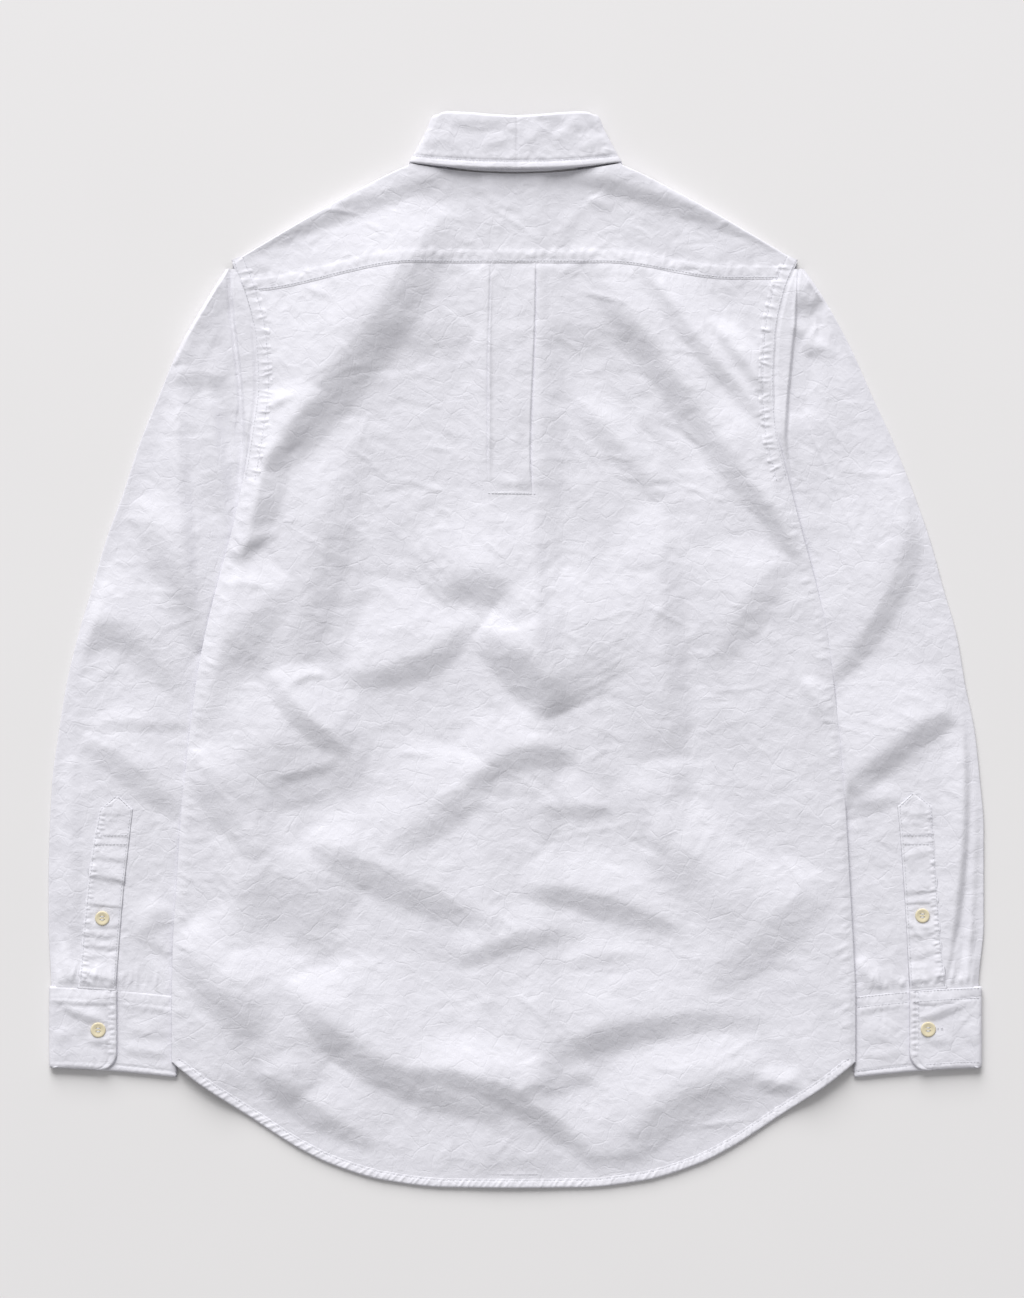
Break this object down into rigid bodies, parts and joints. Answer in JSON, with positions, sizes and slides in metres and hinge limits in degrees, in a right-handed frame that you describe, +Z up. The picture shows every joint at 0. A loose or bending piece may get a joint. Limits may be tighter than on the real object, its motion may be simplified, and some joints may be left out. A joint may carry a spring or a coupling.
{
  "type": "crumpled oxford shirt",
  "caption": "White long-sleeved cotton oxford shirt laid face down, back up, arms straight, with a box pleat, yoke, buttoned cuffs and soft creases.",
  "frame": {"origin": "on the surface that the shirt lies on, at the middle of its length and width", "axes": "+Y towards the collar, +X to the right seen from above with the back up, +Z up from the surface"},
  "size_m": [0.7302, 0.8395, 0.0156],
  "materials": {
    "oxford_cotton": "matt woven cotton, washed and creased",
    "shirt_button": "satin, cream"
  },
  "bodies": {
    "root": {"back": "oxford_cotton", "yoke": "oxford_cotton", "front_left": "oxford_cotton", "front_right": "oxford_cotton", "front_placket": "oxford_cotton", "sleeve_left": "oxford_cotton", "sleeve_right": "oxford_cotton", "cuff_left": "oxford_cotton", "cuff_right": "oxford_cotton", "sleeve_placket_left": "oxford_cotton", "sleeve_placket_right": "oxford_cotton", "collar_stand": "oxford_cotton", "collar_fall": "oxford_cotton", "cuff_button_left": "shirt_button", "cuff_button_right": "shirt_button", "placket_button_left": "shirt_button", "placket_button_right": "shirt_button", "front_button_1": "shirt_button", "front_button_2": "shirt_button", "front_button_3": "shirt_button", "front_button_4": "shirt_button", "front_button_5": "shirt_button", "front_button_6": "shirt_button", "front_button_7": "shirt_button"}
  },
  "joints": []
}
